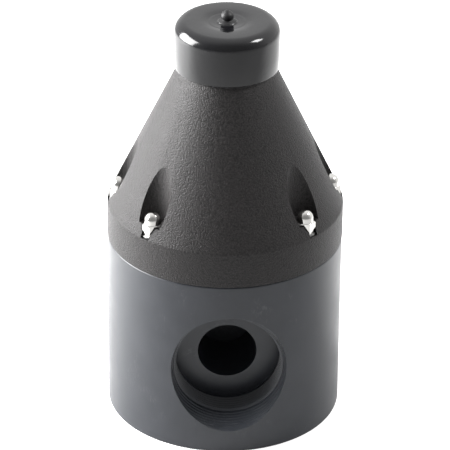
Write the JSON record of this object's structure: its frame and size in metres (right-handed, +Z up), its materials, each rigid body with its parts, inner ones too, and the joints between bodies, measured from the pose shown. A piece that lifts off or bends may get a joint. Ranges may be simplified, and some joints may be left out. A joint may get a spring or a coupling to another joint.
{
  "type": "relief valve",
  "caption": "Diaphragm relief valve with a round plastic body, opposed threaded ports, a conical bonnet held by cap nuts and a capped adjusting screw.",
  "frame": {"origin": "middle of the flat base of the valve body", "axes": "+Z up along the stem and bonnet, -Y out of the outlet port, +Y out of the inlet port"},
  "size_m": [0.1274, 0.1274, 0.2334],
  "materials": {
    "grey_pvc": "turned, satin",
    "black_pp": "moulded, fine grain",
    "black_vinyl": "dip moulded, glossy",
    "black_rubber": "moulded",
    "stainless": "machined",
    "polished_stainless": "polished",
    "spring_steel": "drawn wire",
    "brass": "machined"
  },
  "bodies": {
    "housing": {"valve_body": "grey_pvc", "bonnet": "black_pp", "screw_bushing": "brass", "seat_insert": "grey_pvc", "seat_oring": "black_rubber", "diaphragm": "black_rubber", "stud_1": "stainless", "stud_2": "stainless", "stud_3": "stainless", "stud_4": "stainless", "stud_5": "stainless", "stud_6": "stainless", "washer_1": "stainless", "washer_2": "stainless", "washer_3": "stainless", "washer_4": "stainless", "washer_5": "stainless", "washer_6": "stainless", "cap_nut_1": "polished_stainless", "cap_nut_2": "polished_stainless", "cap_nut_3": "polished_stainless", "cap_nut_4": "polished_stainless", "cap_nut_5": "polished_stainless", "cap_nut_6": "polished_stainless"},
    "stem": {"valve_stem": "stainless", "piston": "black_pp", "stem_washer": "stainless", "stem_nut": "stainless", "diaphragm_retainer": "grey_pvc", "poppet": "grey_pvc", "seat_seal": "black_rubber", "seal_retainer": "grey_pvc", "retainer_screw": "stainless", "spring_washer": "stainless", "set_spring": "spring_steel"},
    "spring_button": {"spring_button": "stainless"},
    "adjusting_screw": {"adjusting_screw": "stainless"},
    "lock_nut": {"lock_nut": "stainless"},
    "dust_cap": {"dust_cap": "black_vinyl"}
  },
  "joints": [
    {"name": "stem_lift", "type": "slide", "parent": "housing", "child": "stem", "axis": [0, 0, 1], "range_m": [0, 0.006], "stiffness_N_per_m": 5000, "springref_m": -0.001, "deforming": ["set_spring", "diaphragm"]},
    {"name": "adjuster_travel", "type": "slide", "parent": "housing", "child": "spring_button", "axis": [0, 0, 1], "range_m": [-0.0095, 0], "deforming": ["set_spring"]},
    {"name": "adjuster_turn", "type": "hinge", "parent": "spring_button", "child": "adjusting_screw", "pos_m": [0, 0, 0.2], "axis": [0, 0, 1], "range_deg": [-1751, 0]},
    {"name": "lock_nut_turn", "type": "hinge", "parent": "housing", "child": "lock_nut", "pos_m": [0, 0, 0.199], "axis": [0, 0, 1], "continuous": true},
    {"name": "cap_pull", "type": "slide", "parent": "housing", "child": "dust_cap", "axis": [0, 0, 1], "range_m": [0, 0.04]}
  ],
  "couplings": [
    {"joint": "adjuster_turn", "follows": "adjuster_travel", "rad_per_m": 3215.8}
  ]
}
